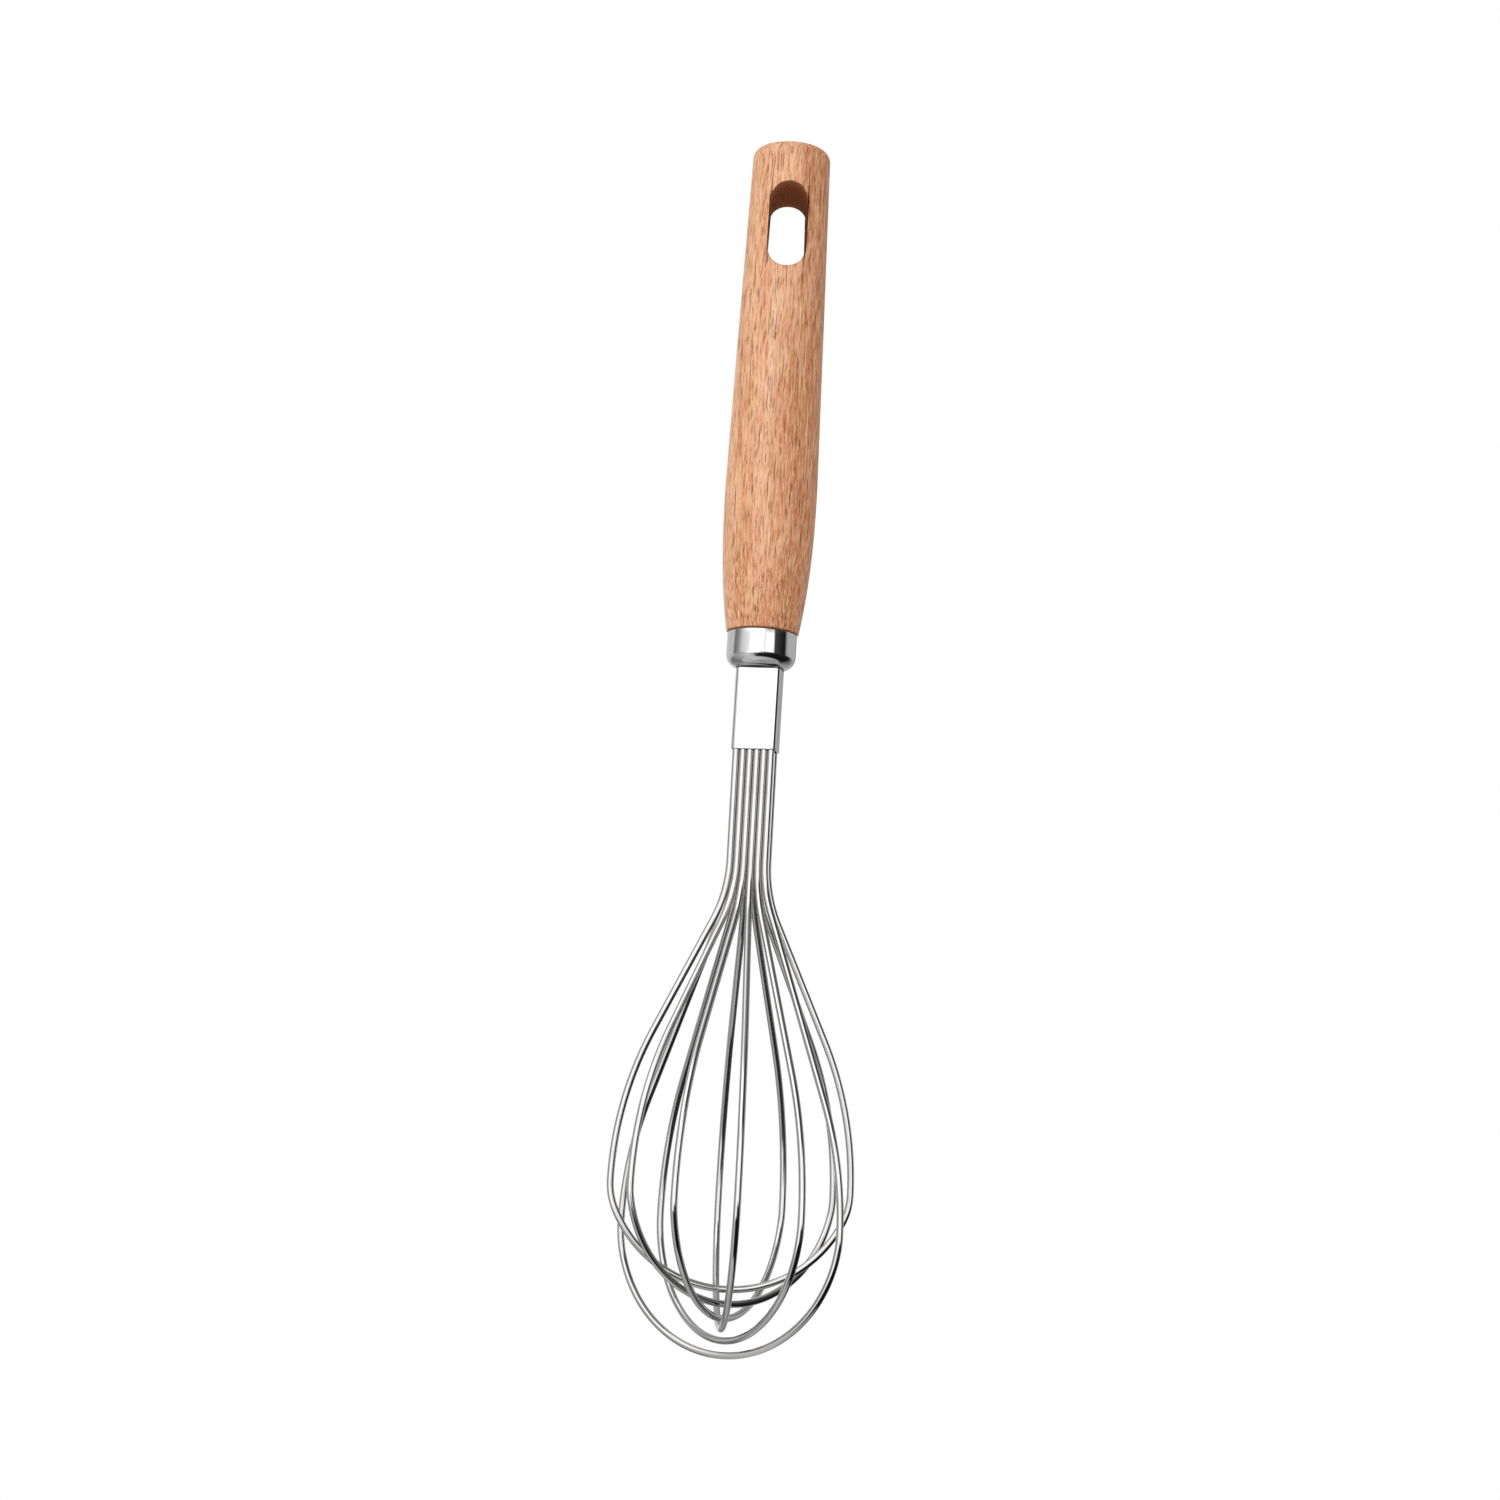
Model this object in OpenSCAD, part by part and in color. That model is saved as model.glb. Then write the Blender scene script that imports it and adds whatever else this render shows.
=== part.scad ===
// Balloon whisk: a turned beech handle with a hanging slot, a polished cap on its lower end, and six
// wire loops gripped in two rows by a flattened sleeve.
//
// Millimetres, +Z up along the handle, balloon hanging down. The origin is the centre of the hanging
// slot's upper round end, on the handle's axis; the slot runs through the handle along Y.

/* [Handle] */
// Length of the wood from the butt down to the cap
handle_len = 117.4; // [105:0.1:130]
// Radius just under the rounded butt
butt_r = 9; // [8.5:0.1:10]
// Largest radius, low on the grip
grip_r = 10.65; // [10.2:0.05:12]
// Height of the largest radius above the handle's lower end
grip_rise = 34; // [26:0.5:40]
// Radius of the wood where it meets the cap
foot_r = 8.3; // [8.2:0.1:9]
// Radius of the butt's rounded edge
butt_edge_r = 2.5; // [1.5:0.1:3.5]
// How far the butt's end is crowned
butt_crown = 1.2; // [0.5:0.1:2]

/* [Hanging slot] */
// Width of the slot across the handle
slot_w = 8.6; // [7:0.1:10]
// Overall length of the slot along the handle
slot_len = 20.55; // [16:0.05:26]
// Wood left between the slot and the butt's end
slot_inset = 11.65; // [9:0.05:14]

/* [Ferrule cap] */
// Outside diameter of the cap
cap_d = 16; // [15.6:0.1:17]
// Height of the cap
cap_h = 8; // [7:0.1:10]
// Thickness of the cap's wall and floor
cap_wall = 0.6; // [0.4:0.1:0.8]
// Outside radius of the cap's lower edge
cap_edge_r = 3; // [1:0.1:3.2]
// Shadow gap between the wood and the cap's rim
rim_gap = 0.3; // [0.1:0.1:0.6]

/* [Wire sleeve] */
// Length of sleeve that shows below the cap
sleeve_drop = 19.2; // [14:0.1:24]
// Thickness of the sleeve's wall
sleeve_wall = 0.35; // [0.25:0.05:0.5]
// Outside radius of the sleeve's corners
sleeve_corner_r = 1.2; // [0.8:0.1:1.3]

/* [Wires] */
// Wire diameter
wire_d = 1.6; // [1.4:0.05:1.6]
// Distance between neighbouring wires in a row, centre to centre
wire_pitch = 1.62; // [1.62:0.01:1.68]
// Distance between the front row and the back row, centre to centre
row_pitch = 3.9; // [3.7:0.1:4]

/* [Balloon] */
// Turn of the sleeve and balloon about the axis, away from square with the slot
head_twist = 10.5; // [0:0.5:20]
// Lean of the balloon to the sleeve's +X side, in degrees
balloon_lean = 0.4; // [0:0.1:1]
// Distance below the sleeve where the wires start to bend outwards
neck_drop = 25.3; // [20:0.1:28]
// Bend radius of a wire at the neck
neck_bend_r = 33.5; // [24:0.5:35]
// Bend radius of a wire along the balloon's flank
flank_r = 79.5; // [60:0.5:80]
// Radius of the shortest loop at its widest, on the wire's centre line
balloon_r = 27; // [26.75:0.25:29]
// How much each longer loop grows in radius
balloon_step = 0.25; // [0.2:0.05:0.4]
// Distance from the sleeve down to the widest part of the shortest loop
waist_drop = 98.1; // [98:0.1:102]
// How much lower each longer loop is widest
waist_step = 1.8; // [1.8:0.05:2.2]
// Distance from the sleeve down to the tip of the shortest loop
tip_drop = 121.4; // [120.4:0.1:121.6]
// How much lower the tip of each longer loop hangs
tip_step = 2.8; // [2.4:0.05:2.85]
// Bend radius of a wire at the balloon's shoulder, below its widest part
shoulder_r = 15; // [13:0.5:18]

/* [Hidden] */

loops = 6;
fan_step = 180 / loops;
// direction in which the front strand of the first loop leaves the neck
fan_start = 194;

// Each loop is bent by hand, so it strays a little from the even fan: degrees turned about the axis,
// then millimetres wider, beside the axis, higher at the widest point and higher at the tip.
hand_turn = [0.7, -1.2, 0.3, 0.6, 1.1, -4.8];
hand_swell = [-0.1, -0.5, 0, 1.3, -0.5, 0.2];
hand_shift = [-0.9, 1.2, 0, -0.6, -0.2, -0.3];
hand_waist = [-0.5, 0.2, -0.6, 2, 0.1, -1.1];
hand_tip = [0.3, -0.1, -0.5, 0, 0.3, -0.1];

// heights along the axis
slot_r = slot_w / 2;
butt_z = slot_inset + slot_r;
foot_z = butt_z - handle_len;
grip_z = foot_z + grip_rise;
rim_z = foot_z - rim_gap;
cap_z = rim_z - cap_h;
mouth_z = cap_z - sleeve_drop;

// fits between pieces, per side
slip = 0.05;
bond = 0.02;

tenon_r = cap_d / 2 - cap_wall - slip;
tenon_edge_r = cap_edge_r - cap_wall - slip;
tenon_z = cap_z + cap_wall + slip;

// sleeve: wide enough for a row of wires, deep enough for both rows
row_w = (loops - 1) * wire_pitch + wire_d;
sleeve_in_w = row_w + 2 * bond;
sleeve_in_d = row_pitch + wire_d + 2 * bond;
sleeve_w = sleeve_in_w + 2 * sleeve_wall;
sleeve_d = sleeve_in_d + 2 * sleeve_wall;
sleeve_top_z = rim_z - 2;

// wire ends and tang inside the handle
socket_r = 6;
wire_top_z = rim_z + 13;
socket_z = wire_top_z + 5;
tang_w = row_w - 0.2;
tang_t = row_pitch - wire_d - 2 * slip;
tang_mouth_inset = 1;
tang_shoulder_z = socket_z - 1;
shank_r = 2.5;
shank_ring_r = 3;
shank_ring_pitch = 6;
shank_rings = 5;
shank_bore_r = 3.6;
shank_len = 38;
shank_bore_z = tang_shoulder_z + shank_len + 2;

// how quickly the grip's outline turns, towards the butt and towards the foot
butt_fall = 1.06;
foot_fall = 2.45;
outline_steps = 12;

wire_sides = 10;
neck_steps = 6;
flank_steps = 8;
bowl_steps = 16;

// ---- small helpers ----

function unit(v) = v / norm(v);

// points on an arc about centre c, from angle a0 to a1
function arc(c, r, a0, a1, steps) =
    [for (i = [0:steps]) let (a = a0 + (a1 - a0) * i / steps) c + r * [cos(a), sin(a)]];

function reversed(list) = [for (i = [len(list) - 1:-1:0]) list[i]];

module rounded_rect(w, d, r) {
    square([w - 2 * r, d], center = true);
    square([w, d - 2 * r], center = true);
    for (x = [-1, 1])
        for (y = [-1, 1])
            translate([x * (w / 2 - r), y * (d / 2 - r)])
                circle(r, $fn = 32);
}

// a cylinder with a rounded lower edge
module round_foot(r, h, edge_r) {
    rotate_extrude($fn = 96) {
        square([r - edge_r, h]);
        translate([0, edge_r])
            square([r, h - edge_r]);
        intersection() {
            translate([r - edge_r, edge_r])
                circle(edge_r, $fn = 48);
            square([r, h]);
        }
    }
}

// the head is turned about the axis, away from square with the slot
module head() {
    rotate([0, 0, -head_twist])
        children();
}

// ---- handle ----

// radius of the wood at a height, falling away from the grip's widest point
function wood_r(z) =
    z > grip_z
        ? grip_r - (grip_r - butt_r) * pow((z - grip_z) / (butt_z - grip_z), butt_fall)
        : grip_r - (grip_r - foot_r) * pow((grip_z - z) / (grip_z - foot_z), foot_fall);

module wood_outline() {
    edge_z = butt_z - butt_crown - butt_edge_r;
    edge_c = [wood_r(edge_z) - butt_edge_r, edge_z];
    crown_r = (pow(edge_c[0], 2) + pow(butt_crown, 2)) / (2 * butt_crown);
    crown_a = asin(edge_c[0] / crown_r);
    polygon(concat(
        [[0, foot_z]],
        [for (i = [0:outline_steps]) let (z = foot_z + (grip_z - foot_z) * i / outline_steps) [wood_r(z), z]],
        [for (i = [1:outline_steps]) let (z = grip_z + (edge_z - grip_z) * i / outline_steps) [wood_r(z), z]],
        arc(edge_c, butt_edge_r, 15, 90, 5),
        arc([0, butt_z - crown_r], crown_r, 90 - crown_a * 0.7, 90, 4)
    ));
}

module hanging_slot() {
    reach = 2 * grip_r;
    low_z = slot_w - slot_len;
    rotate([90, 0, 0])
        for (z = [0, low_z])
            translate([0, z, -reach])
                cylinder(r = slot_r, h = 2 * reach, $fn = 64);
    translate([-slot_r, -reach, low_z])
        cube([slot_w, 2 * reach, -low_z]);
}

module handle() {
    color("#c8925f")
        difference() {
            union() {
                rotate_extrude($fn = 96)
                    wood_outline();
                translate([0, 0, tenon_z])
                    round_foot(tenon_r, foot_z - tenon_z + 1, tenon_edge_r);
            }
            hanging_slot();
            translate([0, 0, tenon_z - 1])
                cylinder(r = socket_r, h = socket_z - tenon_z + 1, $fn = 64);
            translate([0, 0, tenon_z])
                cylinder(r = shank_bore_r, h = shank_bore_z - tenon_z, $fn = 48);
        }
}

// ---- metal fittings ----

module ferrule_cap() {
    color("#c9ccd0")
        translate([0, 0, cap_z])
            difference() {
                round_foot(cap_d / 2, cap_h, cap_edge_r);
                translate([0, 0, cap_wall])
                    round_foot(cap_d / 2 - cap_wall, cap_h, cap_edge_r - cap_wall);
                head()
                    translate([0, 0, -1])
                        linear_extrude(cap_wall + 2)
                            rounded_rect(sleeve_w + 2 * bond, sleeve_d + 2 * bond, sleeve_corner_r);
            }
}

module wire_sleeve() {
    color("#dfe2e4")
        head()
            translate([0, 0, mouth_z])
                linear_extrude(sleeve_top_z - mouth_z)
                    difference() {
                        rounded_rect(sleeve_w, sleeve_d, sleeve_corner_r);
                        rounded_rect(sleeve_in_w, sleeve_in_d, sleeve_corner_r - sleeve_wall);
                    }
}

// flat strip between the two rows of wires, drawn in as it turns into the shank
module tang_strip(w, t) {
    low_z = mouth_z + tang_mouth_inset;
    taper_z = wire_top_z + 1;
    rotate([90, 0, 0])
        translate([0, 0, -t / 2])
            linear_extrude(t)
                polygon([
                    [-w / 2, low_z], [w / 2, low_z], [w / 2, taper_z],
                    [shank_r, tang_shoulder_z], [-shank_r, tang_shoulder_z], [-w / 2, taper_z]
                ]);
}

module tang_shank() {
    root_z = tang_shoulder_z - 2;
    translate([0, 0, root_z])
        cylinder(r = shank_r, h = shank_len + 2, $fn = 48);
    for (i = [1:shank_rings])
        translate([0, 0, root_z + i * shank_ring_pitch])
            cylinder(r = shank_ring_r, h = 2, $fn = 48);
}

module tang() {
    color("#9a9da0")
        head() {
            tang_strip(tang_w, tang_t);
            tang_shank();
        }
}

// resin round the wire ends in the socket, and round the shank above them
module tang_glue() {
    low_z = sleeve_top_z + bond;
    color("#d8c48a")
        difference() {
            union() {
                translate([0, 0, low_z])
                    cylinder(r = socket_r - bond, h = socket_z - bond - low_z, $fn = 64);
                translate([0, 0, socket_z - 1])
                    cylinder(r = shank_bore_r - bond, h = shank_bore_z - bond - socket_z + 1, $fn = 48);
            }
            head() {
                for (y = [-1, 1])
                    translate([0, y * row_pitch / 2, low_z - 1])
                        linear_extrude(wire_top_z + bond - low_z + 1)
                            rounded_rect(row_w + 2 * bond, wire_d + 2 * bond, wire_d / 2);
                tang_strip(tang_w + 2 * bond, tang_t + 2 * bond);
                tang_shank();
            }
        }
}

// ---- wires ----

// a point of a wire, moved aside as the whole balloon leans below the sleeve's mouth
function leaned(x, y, z) = [x + max(0, mouth_z - z) * tan(balloon_lean), y, z];

// Centre line of half a loop, from its end in the handle to its tip. It leaves its row straight down,
// bends outwards in the plane that holds its leg and its widest point, and then goes round the bowl in
// the loop's own plane. side is -1 for the front row and 1 for the back row.
function half_loop(i, side) =
    let (
        turn = fan_start + i * fan_step + hand_turn[i] + (side > 0 ? 180 : 0),
        out = [cos(turn), sin(turn)],
        beside = -side * hand_shift[i] * [-out[1], out[0]],
        widest_r = balloon_r + i * balloon_step + hand_swell[i],
        waist_z = mouth_z - waist_drop - i * waist_step + hand_waist[i],
        tip_z = mouth_z - tip_drop - i * tip_step + hand_tip[i],
        neck_z = mouth_z - neck_drop,

        leg = [-side * (i - (loops - 1) / 2) * wire_pitch, side * row_pitch / 2],
        to_waist = widest_r * out + beside - leg,
        run = norm(to_waist),
        away = unit(to_waist),
        bends = neck_bend_r + flank_r,
        fall = neck_z - waist_z,
        straight = sqrt(fall * fall + pow(bends - run, 2) - bends * bends),
        lean = atan2(fall, bends - run) - atan2(straight, bends),
        upper = concat(
            arc([neck_bend_r, neck_z], neck_bend_r, 180, 180 + lean, neck_steps),
            arc([run - flank_r, waist_z], flank_r, lean, 0, flank_steps)
        ),

        bowl_h = waist_z - tip_z,
        shoulder_x = widest_r - shoulder_r,
        base_r = (pow(shoulder_x, 2) + bowl_h * bowl_h - shoulder_r * shoulder_r)
            / (2 * (bowl_h - shoulder_r)),
        blend = -90 + atan2(shoulder_x, base_r - bowl_h),
        shoulder_steps = ceil(-blend / 90 * bowl_steps),
        base_steps = bowl_steps - shoulder_steps,
        shoulder = arc([shoulder_x, waist_z], shoulder_r, 0, blend, shoulder_steps),
        base = arc([0, tip_z + base_r], base_r, blend, -90, base_steps),
        lower = [for (j = [1:shoulder_steps]) shoulder[j], for (j = [1:base_steps]) base[j]]
    )
    concat(
        [[leg[0], leg[1], wire_top_z], [leg[0], leg[1], mouth_z]],
        [for (p = upper) let (q = leg + p[0] * away) leaned(q[0], q[1], p[1])],
        [for (p = lower) let (q = p[0] * out + beside) leaned(q[0], q[1], p[1])]
    );

// one ring of points round the centre line at index i, square to it
function wire_ring(path, i, across) =
    let (
        along = unit(path[min(i + 1, len(path) - 1)] - path[max(i - 1, 0)]),
        u = unit(cross(along, across)),
        v = cross(u, along)
    )
    [for (j = [0:wire_sides - 1])
        path[i] + wire_d / 2 * (cos(360 * j / wire_sides) * u + sin(360 * j / wire_sides) * v)];

module wire_loop(i) {
    front = half_loop(i, -1);
    back = half_loop(i, 1);
    path = concat(front, reversed([for (j = [0:len(back) - 2]) back[j]]));
    turn = fan_start + i * fan_step + hand_turn[i];
    across = [-sin(turn), cos(turn), 0];
    rings = len(path);
    points = [for (k = [0:rings - 1]) each wire_ring(path, k, across)];
    sides = [
        for (k = [0:rings - 2])
            for (j = [0:wire_sides - 1])
                let (a = k * wire_sides + j, b = k * wire_sides + (j + 1) % wire_sides)
                [a, b, b + wire_sides, a + wire_sides]
    ];
    first = [for (j = [wire_sides - 1:-1:0]) j];
    last = [for (j = [0:wire_sides - 1]) (rings - 1) * wire_sides + j];
    color("#b9bdc1")
        head()
            polyhedron(points, concat(sides, [first, last]), convexity = 8);
}

module wire_loop_1() wire_loop(0);
module wire_loop_2() wire_loop(1);
module wire_loop_3() wire_loop(2);
module wire_loop_4() wire_loop(3);
module wire_loop_5() wire_loop(4);
module wire_loop_6() wire_loop(5);

handle();
ferrule_cap();
wire_sleeve();
tang();
tang_glue();
wire_loop_1();
wire_loop_2();
wire_loop_3();
wire_loop_4();
wire_loop_5();
wire_loop_6();
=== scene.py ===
"""A balloon whisk: a turned beech handle, a polished cap, a flattened sleeve and six wire loops.

Every piece is in metres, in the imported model's frame: +Z runs up the handle's axis, and the origin is
the centre of the hanging slot's upper round end."""

from math import acos, asin, atan2, ceil, cos, pi, radians, sin, sqrt, tan

import bpy
from mathutils import Matrix, Vector


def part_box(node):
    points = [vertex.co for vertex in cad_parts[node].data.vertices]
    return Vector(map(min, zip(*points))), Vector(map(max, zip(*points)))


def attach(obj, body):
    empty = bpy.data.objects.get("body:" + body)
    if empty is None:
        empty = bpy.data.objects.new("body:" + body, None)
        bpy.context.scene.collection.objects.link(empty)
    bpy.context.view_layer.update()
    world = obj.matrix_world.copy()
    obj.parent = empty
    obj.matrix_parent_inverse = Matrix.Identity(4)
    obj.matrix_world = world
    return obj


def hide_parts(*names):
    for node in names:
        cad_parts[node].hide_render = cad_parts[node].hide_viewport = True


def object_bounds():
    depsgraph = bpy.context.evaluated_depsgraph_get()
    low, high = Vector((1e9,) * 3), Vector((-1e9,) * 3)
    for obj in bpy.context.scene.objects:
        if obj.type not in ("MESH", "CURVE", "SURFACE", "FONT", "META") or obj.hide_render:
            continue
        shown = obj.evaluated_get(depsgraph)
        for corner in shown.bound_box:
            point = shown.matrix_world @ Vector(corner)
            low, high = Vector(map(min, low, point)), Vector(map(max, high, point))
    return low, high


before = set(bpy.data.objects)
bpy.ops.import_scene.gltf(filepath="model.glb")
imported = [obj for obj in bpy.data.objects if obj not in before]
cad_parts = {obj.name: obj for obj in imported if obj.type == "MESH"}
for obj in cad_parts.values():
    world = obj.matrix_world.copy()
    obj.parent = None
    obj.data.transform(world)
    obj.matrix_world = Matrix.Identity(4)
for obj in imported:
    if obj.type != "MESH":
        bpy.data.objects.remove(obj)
cad_low, cad_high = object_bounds()

MM = 0.001

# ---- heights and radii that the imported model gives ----

handle_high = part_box("handle")[1]
cap_low, cap_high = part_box("ferrule_cap")
sleeve_low, sleeve_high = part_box("wire_sleeve")
wire_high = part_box("wire_loop_1")[1]

BUTT_Z = handle_high.z
RIM_Z = cap_high.z
CAP_Z = cap_low.z
CAP_R = cap_high.x
SLEEVE_TOP_Z = sleeve_high.z
MOUTH_Z = sleeve_low.z
WIRE_TOP_Z = wire_high.z

# ---- driving dimensions ----

# turned wood
BUTT_R = 9 * MM
GRIP_R = 10.65 * MM
FOOT_R = 8.3 * MM
RIM_GAP = 0.3 * MM
GRIP_RISE = 34 * MM
BUTT_EDGE_R = 2.5 * MM
BUTT_CROWN = 1.2 * MM
BUTT_FALL = 1.06
FOOT_FALL = 2.45
FOOT_Z = RIM_Z + RIM_GAP
GRIP_Z = FOOT_Z + GRIP_RISE
SOCKET_R = 6 * MM
SOCKET_Z = WIRE_TOP_Z + 5 * MM
SHANK_BORE_R = 3.6 * MM
SHANK_BORE_Z = SOCKET_Z + 39 * MM

# hanging slot
SLOT_R = 4.3 * MM
SLOT_LEN = 20.55 * MM
SLOT_LOW_Z = 2 * SLOT_R - SLOT_LEN
SLOT_EDGE_R = 0.35 * MM
ABOVE_SLOT = 1 * MM
BELOW_SLOT = 2 * MM

# pressed metal
CAP_WALL = 0.6 * MM
CAP_EDGE_R = 3 * MM
CAP_LIP_R = 0.15 * MM
SLEEVE_WALL = 0.35 * MM
SLEEVE_CORNER_R = 1.2 * MM
SLEEVE_LIP_R = 0.3 * MM
SLEEVE_SEAM = 0.12 * MM
# height of the band under the cap that is painted dark as shade
CAP_SHADE_BAND = 0.35 * MM
BOND = 0.02 * MM
SLIP = 0.05 * MM
TENON_R = CAP_R - CAP_WALL - SLIP
TENON_EDGE_R = CAP_EDGE_R - CAP_WALL - SLIP
TENON_Z = CAP_Z + CAP_WALL + SLIP

# wires
LOOPS = 6
WIRE_R = 0.8 * MM
WIRE_PITCH = 1.62 * MM
ROW_PITCH = 3.9 * MM
ROW_W = (LOOPS - 1) * WIRE_PITCH + 2 * WIRE_R
SLEEVE_W = ROW_W + 2 * BOND + 2 * SLEEVE_WALL
SLEEVE_D = ROW_PITCH + 2 * WIRE_R + 2 * BOND + 2 * SLEEVE_WALL
HEAD_TURN = radians(-10.5)
BALLOON_LEAN = radians(0.4)
NECK_DROP = 25.3 * MM
NECK_BEND_R = 33.5 * MM
FLANK_R = 79.5 * MM
SHOULDER_R = 15 * MM
BALLOON_R = 27 * MM
BALLOON_STEP = 0.25 * MM
WAIST_DROP = 98.1 * MM
WAIST_STEP = 1.8 * MM
FAN_STEP = radians(180 / LOOPS)
FAN_START = radians(194)

# each loop is bent by hand: degrees turned about the axis, then millimetres wider, beside the axis
# and higher at the widest point
HAND_TURN = [0.7, -1.2, 0.3, 0.6, 1.1, -4.8]
HAND_SWELL = [-0.1, -0.5, 0, 1.3, -0.5, 0.2]
HAND_SHIFT = [-0.9, 1.2, 0, -0.6, -0.2, -0.3]
HAND_WAIST = [-0.5, 0.2, -0.6, 2, 0.1, -1.1]

# how finely the pieces are divided
TURN_STEPS = 128
GRIP_STEPS = 36
SLOT_END_STEPS = 24
NECK_STEPS = 12
FLANK_STEPS = 24
BOWL_STEPS = 40


# ---- shape helpers ----

def arc(centre, radius, start, end, steps):
    """Points on an arc about centre, from angle start to end, both ends included."""
    points = []
    for step in range(steps + 1):
        angle = start + (end - start) * step / steps
        points.append((centre[0] + radius * cos(angle), centre[1] + radius * sin(angle)))
    return points


def add_piece(name, vertices, edges, faces):
    """A new object at the origin with that mesh, smooth shaded."""
    mesh = bpy.data.meshes.new(name)
    mesh.from_pydata(vertices, edges, faces)
    mesh.shade_smooth()
    piece = bpy.data.objects.new(name, mesh)
    bpy.context.scene.collection.objects.link(piece)
    return piece


def turned(name, profile):
    """A shape turned about the axis from a profile of (radius, height) points, top to bottom."""
    vertices = [(r, 0, z) for r, z in profile]
    edges = [(k, k + 1) for k in range(len(profile) - 1)]
    piece = add_piece(name, vertices, edges, [])
    screw = piece.modifiers.new("turn", "SCREW")
    screw.axis = "Z"
    screw.angle = 2 * pi
    screw.steps = TURN_STEPS
    screw.render_steps = TURN_STEPS
    screw.use_merge_vertices = True
    screw.merge_threshold = 0.01 * MM
    screw.use_smooth_shade = True
    return piece


def settle(piece):
    """Applies the piece's whole stack, so that its own mesh is the finished shape."""
    depsgraph = bpy.context.evaluated_depsgraph_get()
    piece.data = bpy.data.meshes.new_from_object(piece.evaluated_get(depsgraph))
    piece.modifiers.clear()


def cut(piece, cutter):
    """Cuts the cutter's shape out of the piece for good, and removes the cutter."""
    boolean = piece.modifiers.new("cut", "BOOLEAN")
    boolean.operation = "DIFFERENCE"
    boolean.solver = "EXACT"
    boolean.object = cutter
    settle(piece)
    bpy.data.objects.remove(cutter)


def soften_edges(piece, radius, segments, angle):
    """Rounds the piece's edges that are sharper than the angle."""
    bevel = piece.modifiers.new("soft edges", "BEVEL")
    bevel.width = radius
    bevel.segments = segments
    bevel.limit_method = "ANGLE"
    bevel.angle_limit = angle
    bevel.use_clamp_overlap = False
    bevel.harden_normals = True


def finish_piece(piece, materials, node):
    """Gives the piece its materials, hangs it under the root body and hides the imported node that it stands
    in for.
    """
    for material in materials:
        piece.data.materials.append(material)
    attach(piece, "root")
    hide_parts(node)


# ---- handle ----

# the handle's surfaces, in the order of its materials
LACQUERED = 0
SLOT_WALL = 1
# the tenon's near-black colour is painted shade in the gap between the foot and the cap's rim
PAINTED_GAP_SHADE = 2


def wood_r(z):
    """Radius of the wood at a height, falling away from the grip's widest point."""
    if z > GRIP_Z:
        return GRIP_R - (GRIP_R - BUTT_R) * ((z - GRIP_Z) / (BUTT_Z - GRIP_Z)) ** BUTT_FALL
    return GRIP_R - (GRIP_R - FOOT_R) * ((GRIP_Z - z) / (GRIP_Z - FOOT_Z)) ** FOOT_FALL


def wood_profile():
    """The handle's outline from the crown down to the foot, then round the tenon and up its bores."""
    edge_z = BUTT_Z - BUTT_CROWN - BUTT_EDGE_R
    edge_centre = (wood_r(edge_z) - BUTT_EDGE_R, edge_z)
    crown_r = (edge_centre[0] ** 2 + BUTT_CROWN ** 2) / (2 * BUTT_CROWN)
    crown_a = asin(edge_centre[0] / crown_r)
    crown = arc((0, BUTT_Z - crown_r), crown_r, pi / 2, pi / 2 - crown_a, 6)
    edge = arc(edge_centre, BUTT_EDGE_R, pi / 2 - crown_a, 0, 8)
    # one long straight stretch carries the slot, so that the cut meets no other edges
    straight_top = edge_z - ABOVE_SLOT
    straight_foot = SLOT_LOW_Z - SLOT_R - BELOW_SLOT
    side = [(wood_r(straight_top), straight_top)]
    for step in range(GRIP_STEPS + 1):
        z = straight_foot + (FOOT_Z - straight_foot) * step / GRIP_STEPS
        side.append((wood_r(z), z))
    # the tenon's rounded end stops where the socket opens it
    foot_edge_r = TENON_R - TENON_EDGE_R
    open_a = -acos((SOCKET_R - foot_edge_r) / TENON_EDGE_R)
    tenon = [(TENON_R, FOOT_Z)]
    tenon += arc((foot_edge_r, TENON_Z + TENON_EDGE_R), TENON_EDGE_R, 0, open_a, 6)
    bores = [(SOCKET_R, SOCKET_Z), (SHANK_BORE_R, SOCKET_Z), (SHANK_BORE_R, SHANK_BORE_Z), (0, SHANK_BORE_Z)]
    return crown + edge[1:] + side + tenon + bores


def slot_cutter():
    """A prism across the handle with the slot's round-ended outline."""
    upper = arc((0, 0), SLOT_R, 0, pi, SLOT_END_STEPS)
    lower = arc((0, SLOT_LOW_Z), SLOT_R, pi, 2 * pi, SLOT_END_STEPS)
    outline = [(x, 0, z) for x, z in upper + lower]
    cutter = add_piece("slot_cutter", outline, [], [range(len(outline))])
    depth = cutter.modifiers.new("depth", "SOLIDIFY")
    depth.thickness = 4 * GRIP_R
    depth.offset = 0
    settle(cutter)
    for face in cutter.data.polygons:
        face.material_index = SLOT_WALL
    return cutter


def make_handle(lacquered, slot_wall, gap_shade_wood):
    """The turned wood, lacquered outside and painted near black inside as the shade in the gap under the
    foot, with the slot cut through it.
    """
    handle = turned("turned_handle", wood_profile())
    settle(handle)
    finish_piece(handle, [lacquered, slot_wall, gap_shade_wood], "handle")
    for face in handle.data.polygons:
        # faces below the foot take the near-black painted shade of the gap
        face.material_index = LACQUERED if face.center.z > FOOT_Z - SLIP else PAINTED_GAP_SHADE
    cut(handle, slot_cutter())
    soften_edges(handle, SLOT_EDGE_R, 4, radians(40))


# ---- cap and sleeve ----

def sleeve_outline(width, depth, corner_r):
    """A round-cornered oblong, turned as the balloon is."""
    points = []
    quarter = pi / 2
    for corner, (sx, sy) in enumerate([(1, 1), (-1, 1), (-1, -1), (1, -1)]):
        centre = (sx * (width / 2 - corner_r), sy * (depth / 2 - corner_r))
        points += arc(centre, corner_r, corner * quarter, (corner + 1) * quarter, 8)
    turn = Matrix.Rotation(HEAD_TURN, 2)
    return [turn @ Vector(p) for p in points]


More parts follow.
